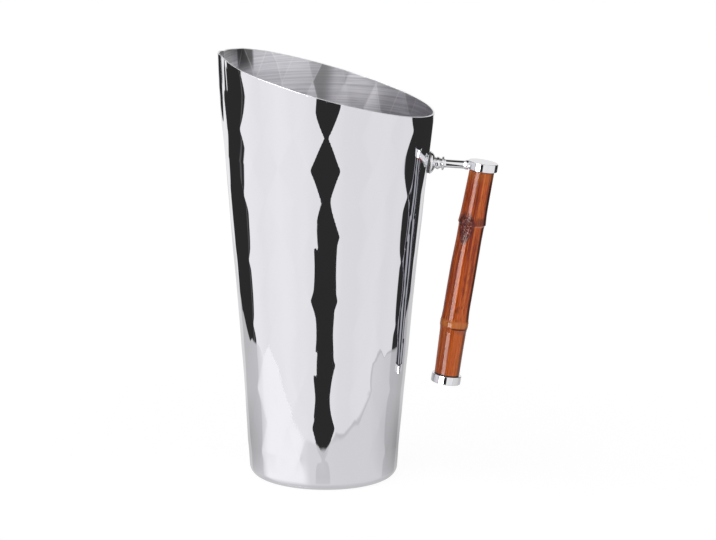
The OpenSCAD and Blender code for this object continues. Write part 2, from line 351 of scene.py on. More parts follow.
def wall_r(theta, z):
    """Outer radius of the faceted wall."""
    column = theta * columns / 360
    row = (z - plain_h) / facet_pitch
    place = column % columns
    skew = np.interp(place, skew_columns, skew_shares)
    a = column + row + skew_first * skew
    b = column - row - skew_second * skew * np.clip((skew_top_row - row) / skew_rows, 0, 1)
    dish = 1 - (soft_parabola(a) + soft_parabola(b)) / 2
    sag = 1 - math.cos(math.radians(360 / columns))
    strength = np.interp(z, strength_heights, flatten_shares)
    strength = strength * np.interp(place, share_columns, strength_shares)
    crisp = np.interp(place, crisp_columns, crisp_shares)
    crisp = crisp * np.clip((z - crisp_low) / (crisp_high - crisp_low), 0, 1)
    strength = strength + crisp * (crisp_strength - strength)
    fade = np.clip((z - fade_low) / (fade_high - fade_low), 0, 1)
    # Toward the mouth the front is drawn in a little, to stay inside the source's box
    front = np.interp(place, front_columns, front_sizes)
    radius = outline_r(z) - front * np.clip((z - front_low) / (mouth_h - front_low), 0, 1)
    return radius * (1 - sag * strength * dish) - spout_in(theta, z) + fade * uneven(a, b)


def mouth_z(theta, inset):
    """Height at which the wall meets the slanted mouth plane."""
    slope = math.tan(math.radians(mouth_fall))
    z = np.full_like(theta, mouth_h)
    for _ in range(30):
        z = mouth_h - slope * (wall_r(theta, z) - inset) * np.cos(np.radians(theta))
    return z


def wall_normal(theta, z):
    """Outward direction of the faceted wall."""
    step = 0.1
    turn = np.radians(theta)
    radius = wall_r(theta, z)
    along = (wall_r(theta + step, z) - wall_r(theta - step, z)) / (2 * math.radians(step))
    rise = (wall_r(theta, z + step) - wall_r(theta, z - step)) / (2 * step)
    lean = along / radius
    normal = np.stack(
        [np.cos(turn) + lean * np.sin(turn), np.sin(turn) - lean * np.cos(turn), -rise], -1
    )
    return normal / np.linalg.norm(normal, axis=-1, keepdims=True)


def build_wall():
    """Outer skin, cut rim and inner skin of the wall, with a face index for each finish."""
    theta = np.arange(wall_segments) * 360 / wall_segments
    turn = np.radians(theta)
    outer_top = mouth_z(theta, 0)
    inner_top = mouth_z(theta, wall_t)
    upward = np.array([0.0, 0.0, 1.0])
    rings, normals = [], []

    def add_ring(inset, z, out_share, up_share):
        r = wall_r(theta, z) - inset
        rings.append(np.stack([r * np.cos(turn), r * np.sin(turn), z], -1))
        normals.append(out_share * wall_normal(theta, z) + up_share * upward)

    for share in np.linspace(0, 1, outer_rows):
        add_ring(0, seam_h + share * (outer_top - rim_round - seam_h), 1, 0)
    outer_count = len(rings)
    for angle in np.linspace(0, math.pi / 2, rim_steps)[1:]:
        out, up = math.cos(angle), math.sin(angle)
        add_ring(rim_round * (1 - out), outer_top - rim_round * (1 - up), out, up)
    for angle in np.linspace(0, math.pi / 2, rim_steps):
        inward, up = math.sin(angle), math.cos(angle)
        inset = wall_t - rim_round * (1 - inward)
        add_ring(inset, inner_top - rim_round * (1 - up), -inward, up)
    rim_count = len(rings)
    # Inside, most rows lie near the mouth, where the camera looks in
    for share in 1 - np.linspace(0, 1, inner_rows)[1:] ** inner_crowding:
        add_ring(wall_t, seam_h + share * (inner_top - rim_round - seam_h), -1, 0)
    points = np.concatenate(rings)
    wall = add_object("wall", points, ring_faces(len(rings), wall_segments))
    # The skin shades by the true slope of the diamonds, not by that of its small faces
    wall.data.normals_split_custom_set_from_vertices(np.concatenate(normals).tolist())
    finish = np.zeros(len(wall.data.polygons), np.int32)
    finish[(outer_count - 1) * wall_segments :] = 1
    finish[(rim_count - 1) * wall_segments :] = 2
    return wall, finish


# Bamboo outline: distance from the top end, radius, and how far the stem bows to the body
upper_places = [0, 2, 12, 22, 28, 31.6, 33.4, 33.9, 36, 44, 60]
upper_radii = [7.75, 7.8, 7.95, 8.1, 8.3, 8.6, 8.75, 8.2, 8.0, 7.95, 8.3]
lower_places = [75, 90, 95.4, 96.8, 99.8, 101.2, 103, 110, 122, grip_l]
lower_radii = [8.35, 8.3, 8.6, 8.9, 8.85, 8.5, 8.3, 8.15, 7.95, 7.85]
stem_places = upper_places + lower_places
stem_radii = upper_radii + lower_radii
bow_places = [0, 15, 34, 60, 85, 100, 115, grip_l]
bow_sizes = [0, 0.3, 0.6, 0.95, 0.95, 0.8, 0.45, 0]
# Branch scar beside the upper node: distance from the top, direction and size
scar_s = 36.0
scar_turn = 240.0
scar_half_l = 10.0
scar_half_a = 32.0
# Its ripples and how far they lie in, with waves along and round the stem of two crossing sets
ripple_size, ripple_in = 0.25, 0.1
first_along, first_round = 2.1, 9
second_along, second_round = 1.3, 17
# More rings at the two nodes: from, to and how many
upper_node_rings = (31, 36, 24)
lower_node_rings = (94, 104, 48)
bamboo_sharp_angle = 50


def build_bamboo():
    """Bamboo stem with its two nodes, its branch scar and its drilled end faces."""
    s = np.linspace(0, grip_l, bamboo_rows)
    more = [np.linspace(*upper_node_rings), np.linspace(*lower_node_rings)]
    s = np.unique(np.concatenate([s, *more]))
    turn = np.arange(bamboo_segments) * 2 * math.pi / bamboo_segments
    radius = np.interp(s, stem_places, stem_radii)
    bow = np.interp(s, bow_places, bow_sizes)
    s_grid, turn_grid = np.meshgrid(s, turn, indexing="ij")
    r = np.repeat(radius[:, None], bamboo_segments, 1)
    away_s = (s_grid - scar_s) / scar_half_l
    away_a = ((np.degrees(turn_grid) - scar_turn + 180) % 360 - 180) / scar_half_a
    near = np.clip(1 - away_s**2 - away_a**2, 0, 1)
    rough = np.sin(s_grid * first_along + turn_grid * first_round)
    rough = rough * np.sin(turn_grid * second_round - s_grid * second_along)
    r = r + near * (ripple_size * rough - ripple_in)
    x = r * np.cos(turn_grid) - bow[:, None]
    y = r * np.sin(turn_grid)
    points = np.stack([x, y, grip_top_z - s_grid], -1).reshape(-1, 3)
    # End faces down to the bore
    bore = grip_bore_d / 2
    top = np.stack([bore * np.cos(turn), bore * np.sin(turn), np.full_like(turn, grip_top_z)], -1)
    low = top - [0, 0, grip_l]
    points = np.concatenate([top, points, low])
    faces = ring_faces(len(s) + 2, bamboo_segments)
    bamboo = add_object("bamboo_stem", points, faces, grip_frame)
    bamboo.data.set_sharp_from_angle(angle=math.radians(bamboo_sharp_angle))
    return bamboo


# Materials


class Nodes:
    """Short calls for the nodes of one material or world."""

    def __init__(self, owner):
        owner.use_nodes = True
        self.owner = owner
        self.tree = owner.node_tree
        self.tree.nodes.clear()

    def add(self, kind, **settings):
        node = self.tree.nodes.new(kind)
        for name, value in settings.items():
            setattr(node, name, value)
        return node

    def put(self, value, socket):
        if isinstance(value, bpy.types.NodeSocket):
            self.tree.links.new(value, socket)
        else:
            socket.default_value = value

    def math(self, operation, a, b=0.0):
        node = self.add("ShaderNodeMath", operation=operation)
        self.put(a, node.inputs[0])
        self.put(b, node.inputs[1])
        return node.outputs[0]

    def times(self, a, b):
        return self.math("MULTIPLY", a, b)

    def plus(self, a, b):
        return self.math("ADD", a, b)

    def length(self, a, b):
        squares = self.plus(self.math("POWER", a, 2), self.math("POWER", b, 2))
        return self.math("SQRT", squares)

    def direction(self, y, x):
        """Angle in degrees, as from arctan2."""
        return self.math("DEGREES", self.math("ARCTAN2", y, x))

    def axes(self, vector):
        node = self.add("ShaderNodeSeparateXYZ")
        self.put(vector, node.inputs[0])
        return node.outputs

    def between(self, value, low, high, to_low=0.0, to_high=1.0, smooth=True):
        """Map a value from one span to another, held at both ends."""
        node = self.add("ShaderNodeMapRange")
        node.interpolation_type = "SMOOTHSTEP" if smooth else "LINEAR"
        self.put(value, node.inputs["Value"])
        for name, v in (
            ("From Min", low),
            ("From Max", high),
            ("To Min", to_low),
            ("To Max", to_high),
        ):
            self.put(v, node.inputs[name])
        return node.outputs["Result"]

    def band(self, value, centre, half, soft):
        """1 within a band around a value, 0 beyond its soft edges."""
        away = self.math("ABSOLUTE", self.math("SUBTRACT", value, centre))
        return self.between(away, half - soft, half + soft, 1.0, 0.0)

    def mix(self, share, a, b, blend="MIX"):
        node = self.add("ShaderNodeMix", data_type="RGBA", blend_type=blend)
        self.put(share, node.inputs[0])
        self.put(a, node.inputs[6])
        self.put(b, node.inputs[7])
        return node.outputs[2]

    def mix_shader(self, share, a, b):
        node = self.add("ShaderNodeMixShader")
        self.put(share, node.inputs[0])
        self.put(a, node.inputs[1])
        self.put(b, node.inputs[2])
        return node.outputs[0]

    def noise(self, vector, scale, detail=3.0, roughness=0.5):
        node = self.add("ShaderNodeTexNoise")
        self.put(vector, node.inputs["Vector"])
        node.inputs["Scale"].default_value = scale
        node.inputs["Detail"].default_value = detail
        node.inputs["Roughness"].default_value = roughness
        return node.outputs[0]

    def stretched(self, vector, scale):
        node = self.add("ShaderNodeMapping")
        self.put(vector, node.inputs["Vector"])
        node.inputs["Scale"].default_value = scale
        return node.outputs[0]

    def bump(self, height, strength, distance):
        node = self.add("ShaderNodeBump")
        node.inputs["Strength"].default_value = strength
        node.inputs["Distance"].default_value = distance
        self.put(height, node.inputs["Height"])
        return node.outputs[0]

    def object_place(self):
        return self.add("ShaderNodeTexCoord").outputs["Object"]

    def metal(self):
        shader = self.add("ShaderNodeBsdfPrincipled")
        shader.inputs["Metallic"].default_value = 1.0
        return shader

    def finish(self, shader, kind="ShaderNodeOutputMaterial"):
        self.put(shader, self.add(kind).inputs["Surface"])
        return self.owner


def rgb(red, green, blue):
    """Linear colour from the 0 to 255 numbers of a screen colour."""

    def linear(v):
        v = v / 255
        return v / 12.92 if v <= 0.04045 else ((v + 0.055) / 1.055) ** 2.4

    return (linear(red), linear(green), linear(blue), 1.0)


def grey(value):
    return (value, value, value, 1.0)


steel_tint = (0.825, 0.82, 0.862, 1.0)
fitting_tint = (0.88, 0.88, 0.9, 1.0)
# Share of its tint that polished steel keeps in its wipe marks
wiped_share = 0.985

# Inside of the wall: the tones between which every diamond has its own by chance
inside_dark = (0.67, 0.665, 0.71, 1.0)
inside_light = (0.84, 0.835, 0.88, 1.0)
# By place along the diamonds' columns, and by share: painted light, brightest on the grip
# side of the back, and painted shade toward the grip
lit_side_start, lit_side_full, lit_side_share = 10.3, 9.4, 0.95
lit_side_tint = (0.97, 0.955, 1.0, 1.0)
grip_shade_start, grip_shade_full, grip_shade_share = 8.2, 5.8, 0.7
grip_shade_tint = (0.5, 0.49, 0.52, 1.0)
# Painted light in front, around its middle column, and from a column beside the spout on.
# The material counts columns from -20 to 20.
front_middle, front_half, front_soft = -15.0, 5.5, 0.7
spout_side_start, spout_side_full = 17.0, 17.4
front_light_share, front_light_tone = 0.9, 0.97
# One diamond behind with painted shade, by its two cell counts, darkest on its spout side
shaded_first, shaded_second, shaded_half, shaded_soft = 10, -1, 0.5, 0.1
shaded_start, shaded_full, shaded_share, shaded_tone = 9.6, 10.5, 0.7, 0.3
# Painted shade on a facet under the rim near the spout: column, and heights in metres
# where it sets in
facet_column, facet_half, facet_soft = 15.9, 0.85, 0.12
facet_low_z, facet_high_z = 0.245, 0.256
facet_shade_share, facet_shade_tone = 0.9, 0.12
# Painted highlight along the ridge lines: half width, as a share of a diamond
ridge_line_share, ridge_highlight_share, ridge_highlight_tone = 0.035, 0.3, 0.95
brush_share, brush_low_tone = 0.6, 0.6


def steel_material(name, tint, low_rough, high_rough, scale=60.0):
    """Mirror polished metal with faint wipe marks."""
    n = Nodes(bpy.data.materials.new(name))
    place = n.object_place()
    cloud = n.noise(n.stretched(place, (1, 1, 0.35)), scale, 4)
    shader = n.metal()
    wiped = tuple(wiped_share * c for c in tint[:3]) + (1.0,)
    n.put(n.mix(cloud, tint, wiped), shader.inputs["Base Color"])
    n.put(n.between(cloud, 0.35, 0.7, low_rough, high_rough), shader.inputs["Roughness"])
    return n.finish(shader.outputs[0])


def brushed_material(name, low_tint, high_tint, low_rough, high_rough):
    """Steel with fine level brush lines."""
    n = Nodes(bpy.data.materials.new(name))
    place = n.object_place()
    lines = n.noise(n.stretched(place, (22, 22, 1300)), 1.0, 4, 0.6)
    patches = n.noise(n.stretched(place, (30, 30, 60)), 1.0, 2)
    shader = n.metal()
    both = n.plus(n.times(lines, 0.6), n.times(patches, 0.4))
    n.put(n.mix(n.between(both, 0.35, 0.65), low_tint, high_tint), shader.inputs["Base Color"])
    n.put(n.between(lines, 0.3, 0.7, low_rough, high_rough), shader.inputs["Roughness"])
    n.put(n.bump(lines, 0.05, 0.00001), shader.inputs["Normal"])
    return n.finish(shader.outputs[0])


def inside_material():
    """Brushed steel inside the wall: each diamond's tone by chance, and painted light and shade.
    """
    n = Nodes(bpy.data.materials.new("brushed_inside"))
    place = n.object_place()
    x, y, z = n.axes(place)
    column = n.times(n.direction(y, x), columns / 360)
    row = n.times(z, 1 / (facet_pitch * MM))
    row = n.math("SUBTRACT", row, plain_h / facet_pitch)
    # The skew behind, as in wall_r
    start, full, keep, end = skew_columns
    skew = n.times(
        n.between(column, start, full, smooth=False),
        n.between(column, keep, end, 1.0, 0.0, smooth=False),
    )
    low_row = skew_top_row - skew_rows
    steeper = n.between(row, low_row, skew_top_row, 1.0, 0.0, smooth=False)
    steeper = n.times(skew, steeper)
    first = n.plus(n.plus(column, row), n.times(skew, skew_first))
    second = n.math(
        "SUBTRACT", n.math("SUBTRACT", column, row), n.times(steeper, skew_second)
    )
    # Ridges lie where half of either ridge count is whole
    cell = n.add("ShaderNodeCombineXYZ")
    cells, ridge_ways = [], []
    for count, socket in ((first, "X"), (second, "Y")):
        half_count = n.times(count, 0.5)
        cells.append(n.math("FLOOR", half_count))
        n.put(cells[-1], cell.inputs[socket])
        whole = n.math("ROUND", half_count)
        ridge_ways.append(n.math("ABSOLUTE", n.math("SUBTRACT", half_count, whole)))
    ridge_highlight = n.between(n.math("MINIMUM", *ridge_ways), 0.0, ridge_line_share, 1.0, 0.0)
    own = n.add("ShaderNodeTexWhiteNoise", noise_dimensions="2D")
    n.put(cell.outputs[0], own.inputs["Vector"])
    across = n.times(n.plus(first, second), 0.5)
    shaded_diamond = n.times(
        n.band(cells[0], shaded_first, shaded_half, shaded_soft),
        n.band(cells[1], shaded_second, shaded_half, shaded_soft),
    )
    shaded_diamond = n.times(shaded_diamond, n.between(across, shaded_start, shaded_full))
    lines = n.noise(n.stretched(place, (30, 30, 1500)), 1.0, 4, 0.6)
    fine = n.noise(n.stretched(place, (12, 12, 900)), 1.0, 3, 0.5)
    shader = n.metal()
    colour = n.mix(own.outputs[0], inside_dark, inside_light)
    # Painted light on the grip side of the back
    lit_side = n.between(across, lit_side_start, lit_side_full, 0.0, lit_side_share)
    colour = n.mix(lit_side, colour, lit_side_tint)
    # Painted shade toward the grip
    grip_shade = n.between(across, grip_shade_start, grip_shade_full, 0.0, grip_shade_share)
    colour = n.mix(grip_shade, colour, grip_shade_tint)
    # Painted light: the bright front lights the grip side
    front = n.band(column, front_middle, front_half, front_soft)
    front = n.math("MAXIMUM", front, n.between(column, spout_side_start, spout_side_full))
    colour = n.mix(n.times(front, front_light_share), colour, grey(front_light_tone))
    brush = n.between(n.plus(lines, fine), 0.8, 1.2)
    brush = n.mix(brush, grey(brush_low_tone), grey(1.0))
    colour = n.mix(brush_share, colour, brush, "MULTIPLY")
    # Painted shade on one diamond behind
    colour = n.mix(n.times(shaded_diamond, shaded_share), colour, grey(shaded_tone))
    # Painted shade on a facet under the rim near the spout
    dark = n.band(column, facet_column, facet_half, facet_soft)
    dark = n.times(dark, n.between(z, facet_low_z, facet_high_z))
    colour = n.mix(n.times(dark, facet_shade_share), colour, grey(facet_shade_tone))
    # Painted highlight along the ridges
    colour = n.mix(n.times(ridge_highlight, ridge_highlight_share), colour, grey(ridge_highlight_tone))
    n.put(colour, shader.inputs["Base Color"])
    n.put(n.between(lines, 0.3, 0.7, 0.3, 0.4), shader.inputs["Roughness"])
    n.put(n.bump(lines, 0.06, 0.00001), shader.inputs["Normal"])
    return n.finish(shader.outputs[0])


def plain_material(name, tint, other, rough, scale):
    """Matt material with a fine mottle, for seals, rings and plugs."""
    n = Nodes(bpy.data.materials.new(name))
    speckle = n.noise(n.object_place(), scale, 5)
    shader = n.add("ShaderNodeBsdfPrincipled")
    n.put(n.mix(speckle, tint, other), shader.inputs["Base Color"])
    n.put(n.between(speckle, 0.3, 0.7, rough, min(1.0, rough + 0.15)), shader.inputs["Roughness"])
    n.put(n.bump(speckle, 0.2, 0.00005), shader.inputs["Normal"])
    return n.finish(shader.outputs[0])


def bamboo_material():
    """Reddish brown stained bamboo under a gloss varnish."""
    n = Nodes(bpy.data.materials.new("varnished_bamboo"))
    place = n.object_place()
    x, y, z = n.axes(place)
    s = n.times(n.math("SUBTRACT", grip_top_z * MM, z), 1 / MM)
    # Direction around the stem: the camera's side is -90, the far side from the jug 0
    angle = n.direction(y, x)
    fibre = n.noise(n.stretched(place, (1100, 1100, 16)), 1.0, 4, 0.6)
    streak = n.noise(n.stretched(place, (300, 300, 12)), 1.0, 3, 0.55)
    blotch = n.noise(n.stretched(place, (170, 170, 60)), 1.0, 4, 0.6)
    dashes = n.noise(n.stretched(place, (1500, 1500, 260)), 1.0, 2, 0.5)
    crumbs_and_glints = n.noise(n.stretched(place, (700, 700, 500)), 1.0, 3, 0.6)

    def tint(colour, share, size, other):
        return n.mix(n.times(share, size), colour, other)

    colour = n.mix(n.between(streak, 0.38, 0.6), rgb(150, 40, 4), rgb(208, 88, 18))
    colour = tint(colour, n.between(fibre, 0.46, 0.68), 0.6, rgb(244, 136, 62))
    colour = tint(colour, n.between(fibre, 0.48, 0.32), 0.6, rgb(112, 30, 4))
    colour = tint(colour, n.between(blotch, 0.53, 0.68), 0.6, rgb(122, 32, 6))
    colour = tint(colour, n.between(dashes, 0.56, 0.66), 0.4, rgb(98, 30, 8))
    # Long dark marks: a stain beside the camera's side, a short dark line beside the varnish
    # highlight, and on the outer side a nearly black painted shade
    colour = tint(colour, n.band(angle, -126, 9, 7), 0.5, rgb(120, 30, 4))
    short = n.times(n.band(angle, -94, 5, 4), n.between(s, 30, 18))
    colour = tint(colour, short, 0.6, rgb(112, 34, 4))
    # Painted shade: the outer side, turned from the light, is nearly black
    colour = tint(colour, n.band(angle, 25, 67, 9), 0.88, rgb(40, 10, 4))
    # Yellower near the top end, and paler, more orange below the lower node
    colour = tint(colour, n.between(s, 9, 2), 0.35, rgb(205, 120, 52))
    colour = tint(colour, n.between(s, 84, 101), 0.3, rgb(205, 108, 44))
    pores = n.times(n.between(dashes, 0.52, 0.62), n.band(s, 88, 9, 5))
    colour = tint(colour, pores, 0.5, rgb(120, 50, 20))
    # Upper node: painted shade above its step, a pale line under it
    outer_side = n.between(angle, -88, -70)
    node_shade = n.times(n.band(s, 31.2, 2.6, 1.2), outer_side)
    colour = tint(colour, node_shade, 0.65, rgb(82, 26, 24))
    pale = n.times(n.band(s, 34.2, 0.45, 0.3), outer_side)
    colour = tint(colour, pale, 0.55, rgb(225, 150, 130))
    # Lower node: a pale band, painted shade in its groove and a greyish painted sheen below it
    colour = tint(colour, n.band(s, 97.6, 1.9, 1.0), 0.5, rgb(222, 140, 74))
    groove_side = n.between(angle, -118, -96)
    groove_shade = n.times(n.band(s, 100.5, 0.55, 0.35), groove_side)
    colour = tint(colour, groove_shade, 0.9, rgb(58, 16, 8))
    # Painted sheen on the flank below the groove
    lower_flank_sheen = n.times(n.band(s, 102.6, 1.3, 0.8), n.between(angle, -95, -60))
    colour = tint(colour, lower_flank_sheen, 0.4, rgb(150, 84, 74))
    # Dark, rough branch scar beside the upper node; its pale crumbs are painted glints on its
    # bumps
    away_a = n.math("DIVIDE", n.math("SUBTRACT", angle, scar_turn - 360), scar_half_a)
    away_s = n.math("DIVIDE", n.math("SUBTRACT", s, scar_s), scar_half_l)
    ragged = n.times(n.math("SUBTRACT", blotch, 0.5), 1.6)
    ragged = n.plus(n.length(away_a, away_s), ragged)
    scar = n.between(ragged, 1.15, 0.8)
    scar_tone = n.mix(n.between(crumbs_and_glints, 0.4, 0.6), rgb(66, 18, 16), rgb(122, 54, 46))
    # Pale specks on the scar's bumps: painted glints
    scar_tone = n.mix(n.between(crumbs_and_glints, 0.62, 0.7), scar_tone, rgb(205, 140, 130))
    colour = n.mix(n.times(scar, 0.9), colour, scar_tone)
    shader = n.add("ShaderNodeBsdfPrincipled")
    n.put(colour, shader.inputs["Base Color"])
    n.put(n.between(fibre, 0.3, 0.7, 0.38, 0.5), shader.inputs["Roughness"])
    shader.inputs["Specular IOR Level"].default_value = 0.1
    shader.inputs["Coat Weight"].default_value = 0.5
    shader.inputs["Coat Roughness"].default_value = 0.07
    lumps = n.plus(n.times(streak, 0.2), n.times(scar, crumbs_and_glints))
    coat_bump = n.bump(lumps, 0.35, 0.0004)
    n.put(coat_bump, shader.inputs["Coat Normal"])
    n.put(n.bump(fibre, 0.3, 0.0001), shader.inputs["Normal"])
    return n.finish(shader.outputs[0])


polished = steel_material("polished_steel_skin", steel_tint, 0.015, 0.035)
chrome = steel_material("chrome_skin", fitting_tint, 0.02, 0.05, 300.0)
rim_steel = steel_material("cut_edge", fitting_tint, 0.34, 0.42, 400.0)
inside = inside_material()
brushed = brushed_material("brushed_pan", grey(0.64), grey(0.78), 0.15, 0.22)
plain_steel = brushed_material("plain_turned_steel", grey(0.6), grey(0.74), 0.25, 0.4)
bamboo_skin = bamboo_material()
rubber = plain_material("seal_rubber", grey(0.12), grey(0.16), 0.6, 900.0)
brown_ring = plain_material("brown_ring", rgb(92, 40, 34), rgb(120, 60, 50), 0.5, 900.0)
black_ring = plain_material("black_ring", grey(0.012), grey(0.02), 0.45, 900.0)
raw_wood = plain_material("raw_wood", rgb(205, 170, 125), rgb(185, 145, 100), 0.7, 500.0)


def dress(obj, *materials):
    obj.data.materials.clear()
    for m in materials:
        obj.data.materials.append(m)


def place_piece(obj, node, slot, *materials):
    dress(obj, *materials)
    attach(obj, "root")
    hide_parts(node)


# Body

wall, wall_finish = build_wall()
place_piece(wall, "body_wall", "polished_steel", polished, rim_steel, inside)
wall.data.polygons.foreach_set("material_index", wall_finish)


def arc(centre_r, centre_z, radius, start, end, steps=14):
    return [
        (
            centre_r + radius * math.cos(math.radians(a)),
            centre_z + radius * math.sin(math.radians(a)),
            0,
        )
        for a in np.linspace(start, end, steps)
    ]


recess_r = pan_flat_r - foot_ring_w
slope_r = recess_r - pan_slope_w
hollow_r = base_edge_r - wall_t
# The rounded edge runs into the wall without a kink
edge_top_h = base_edge_r * (1 - math.sin(wall_tilt))
edge_centre_r = outline_r(edge_top_h) - base_edge_r * math.cos(wall_tilt)
edge_start = -math.degrees(wall_tilt)
side_heights = np.linspace(seam_h, edge_top_h, 5)[:-1]
pan_corners = (
    [(0, pan_rise, 0), (slope_r, pan_rise, 0), (recess_r, 0, 0)]
    + arc(edge_centre_r, base_edge_r, base_edge_r, -90, edge_start, 24)
    + [(outline_r(z), z, 0) for z in side_heights[::-1]]
    + [(outline_r(seam_h) - wall_t, seam_h, 0)]
    + arc(edge_centre_r, base_edge_r, hollow_r, edge_start, -90)
    + [(recess_r, wall_t, 0), (slope_r, wall_t + pan_rise, 0), (0, wall_t + pan_rise, 0)]
)
pan = turned("pan", pan_corners, segments=wall_segments)
place_piece(pan, "base_pan", "polished_steel", polished, brushed)
for face in pan.data.polygons:
    upper = face.normal.z > 0.05 and face.center.z > wall_t * MM * 0.9
    underside = face.normal.z < -0.9 and face.center.z < pan_rise * MM * 1.1
    face.material_index = 1 if upper or underside else 0

# Arm

rosette = turned(
    "rosette_plate",
    [
        (hole_d / 2, 0, 0),
        (rosette_d / 2, 0, 0.15),
        (rosette_d / 2, rosette_edge_h, 0.25),
        (rosette_d / 2 - rosette_step_in, rosette_step_h, 0.15),
        (rosette_d / 2 - rosette_dome_in, rosette_dome_h, 0.8),
        (collar_d / 2 + rosette_flare_out, rosette_flare_h, 2.2),
        (collar_d / 2 + rosette_neck_out, rosette_neck_h, 0.3),
        (collar_d / 2 - rosette_lip_in, rosette_t, 0.2),
        (hole_d / 2, rosette_t, 0),
    ],
    arm_frame @ Matrix.Translation((0, 0, gasket_t)),
)
place_piece(rosette, "rosette", "chrome_fittings", chrome)

collar = turned(
    "neck_sleeve",
    [
        (hole_d / 2, 0, 0),
        (collar_d / 2 - collar_foot_in, 0, 0.2),
        (collar_d / 2 - collar_foot_in, collar_foot_h, 0.15),
        (collar_d / 2, collar_bead_low_h, 0.3),
        (collar_d / 2, collar_bead_high_h, 0.3),
        (collar_d / 2 - collar_tip_in, collar_tip_h, 0.15),
        (collar_d / 2 - collar_tip_in, collar_l, 0.2),
        (hole_d / 2, collar_l, 0),
    ],
    arm_frame @ Matrix.Translation((0, 0, collar_s)),
)
place_piece(collar, "neck_collar", "chrome_fittings", chrome)

rod = turned(
    "arm_bar",
    [
        (0, arm_foot_s, 0),
        (arm_waist_d / 2, arm_foot_s, 0.1),
        (arm_waist_d / 2, ring_s, 0.25),
        (ring_d / 2, ring_s, 0.6),
        (ring_d / 2, ring_s + ring_t, 0.6),
        (arm_d / 2 + arm_cone_out, ring_s + ring_t, 0.2),
        (arm_d / 2, ring_s + ring_t + arm_cone_l, 0.8),
        (arm_d / 2, cap_side_s - arm_flare_start_l, 0.6),
        (arm_d / 2 + arm_flare_out, cap_side_s - arm_flare_full_l, 0.4),
        (arm_d / 2 + arm_flare_out, cap_side_s + arm_in_cap_l, 0.1),
        (0, cap_side_s + arm_in_cap_l, 0),
    ],
    arm_frame,
)
place_piece(rod, "arm_rod", "chrome_fittings", chrome)

# Grip

top_cap = turned(
    "upper_cap",
    [
        (0, cap_low_z, 0),
        (cap_skin_r, cap_low_z, 0.35),
        (cap_skin_r, -cap_low_z - cap_dome_edge, 0.45),
        (cap_d / 4, -cap_low_z - cap_dome_halfway, cap_dome_round),
        (0, -cap_low_z, 0),
    ],
    grip_frame,
)
place_piece(top_cap, "top_cap", "chrome_fittings", chrome)

bottom_cap = turned(
    "lower_cap",
    [
        (0, bottom_cap_top_z - cap_h, 0),
        (cap_skin_r, bottom_cap_top_z - cap_h, 0.45),
        (cap_skin_r, bottom_cap_top_z, 0.35),
        (0, bottom_cap_top_z, 0),
    ],
    grip_frame,
)
place_piece(bottom_cap, "bottom_cap", "chrome_fittings", chrome)

bamboo = build_bamboo()
place_piece(bamboo, "bamboo_grip", "bamboo", bamboo_skin)

for node, material in {
    "wall_gasket": rubber,
    "inner_gasket": rubber,
    "inner_washer": plain_steel,
    "lock_washer": plain_steel,
    "dome_nut": chrome,
    "top_shim": brown_ring,
    "bottom_shim": black_ring,
    "tie_rod": plain_steel,
    "top_plug": raw_wood,
    "bottom_plug": raw_wood,
}.items():
    dress(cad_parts[node], material)

# Stage

plinth_side = 283.0
plinth_front = 120.0
# The plinth's outline reaches 1 at its edge: softness, wobble, and its dark rim on the right
plinth_soft = 0.05
plinth_wobble = 0.03
rim_place, rim_half, rim_soft, rim_dark = 0.97, 0.07, 0.05, 0.22
# Tones of the floor: to the camera its matt part and its own light, then to diffuse rays,
# then in the steel
seen_tone, own_tone, bounce_tone, plinth_tone = 0.22, 0.88, 0.8, 0.81
plinth_rough, plinth_ior = 0.05, 1.58
# Shade on the plinth: directions in degrees from the front, how dark it is at either side,
# how much darker near the jug, and where near begins and ends, in metres
left_start, left_full, left_dark, left_near_dark = -70, -120, 0.1, 0.25
right_start, right_full, right_dark, right_near_dark = 60, 125, 0.16, 0.36
near_full_m, near_end_m = 0.095, 0.2
front_left, front_right, front_right_tone = -40, 30, 0.94
# Shade around the foot of the jug
contact_start_m, contact_end_m, contact_tone = 0.044, 0.054, 0.82
floor_half = 4000.0


